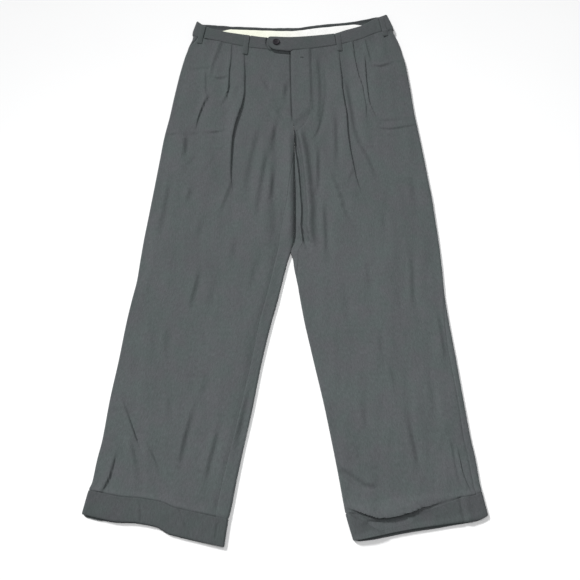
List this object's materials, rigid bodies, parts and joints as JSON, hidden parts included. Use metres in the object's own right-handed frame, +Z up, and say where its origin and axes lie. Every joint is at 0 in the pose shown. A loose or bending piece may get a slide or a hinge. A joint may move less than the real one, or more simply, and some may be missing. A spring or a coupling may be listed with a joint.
{
  "type": "pleated dress trousers",
  "caption": "Charcoal pleated wool dress trousers with turn-ups, buttoned tab waistband, belt loops and slanted side pockets, laid flat face up.",
  "frame": {"origin": "middle of the laid-out outline, on the surface the garment lies on", "axes": "+Y from the hems to the waist, +X towards the wearer's left, +Z up out of the front of the garment"},
  "size_m": [0.693, 1.102, 0.0172],
  "materials": {
    "suiting": "fine worsted wool, matt with a faint sheen",
    "lining": "pale smooth waistband lining",
    "button": "dark polished horn-look resin, slightly worn",
    "zip_metal": "satin zip slider"
  },
  "bodies": {
    "root": {"front_right": "suiting", "front_left": "suiting", "back_right": "suiting", "back_left": "suiting", "pocket_facing_right": "suiting", "pocket_facing_left": "suiting", "cuff_right": "suiting", "cuff_left": "suiting", "waistband_right": "suiting", "waistband_left": "suiting", "waistband_lining": "lining", "loop_front_right": "suiting", "loop_front_left": "suiting", "loop_side_right": "suiting", "loop_side_left": "suiting", "loop_back_right": "suiting", "loop_back_centre": "suiting", "loop_back_left": "suiting", "fly_zip": "suiting", "zip_slider": "zip_metal", "front_button": "button"}
  },
  "joints": []
}
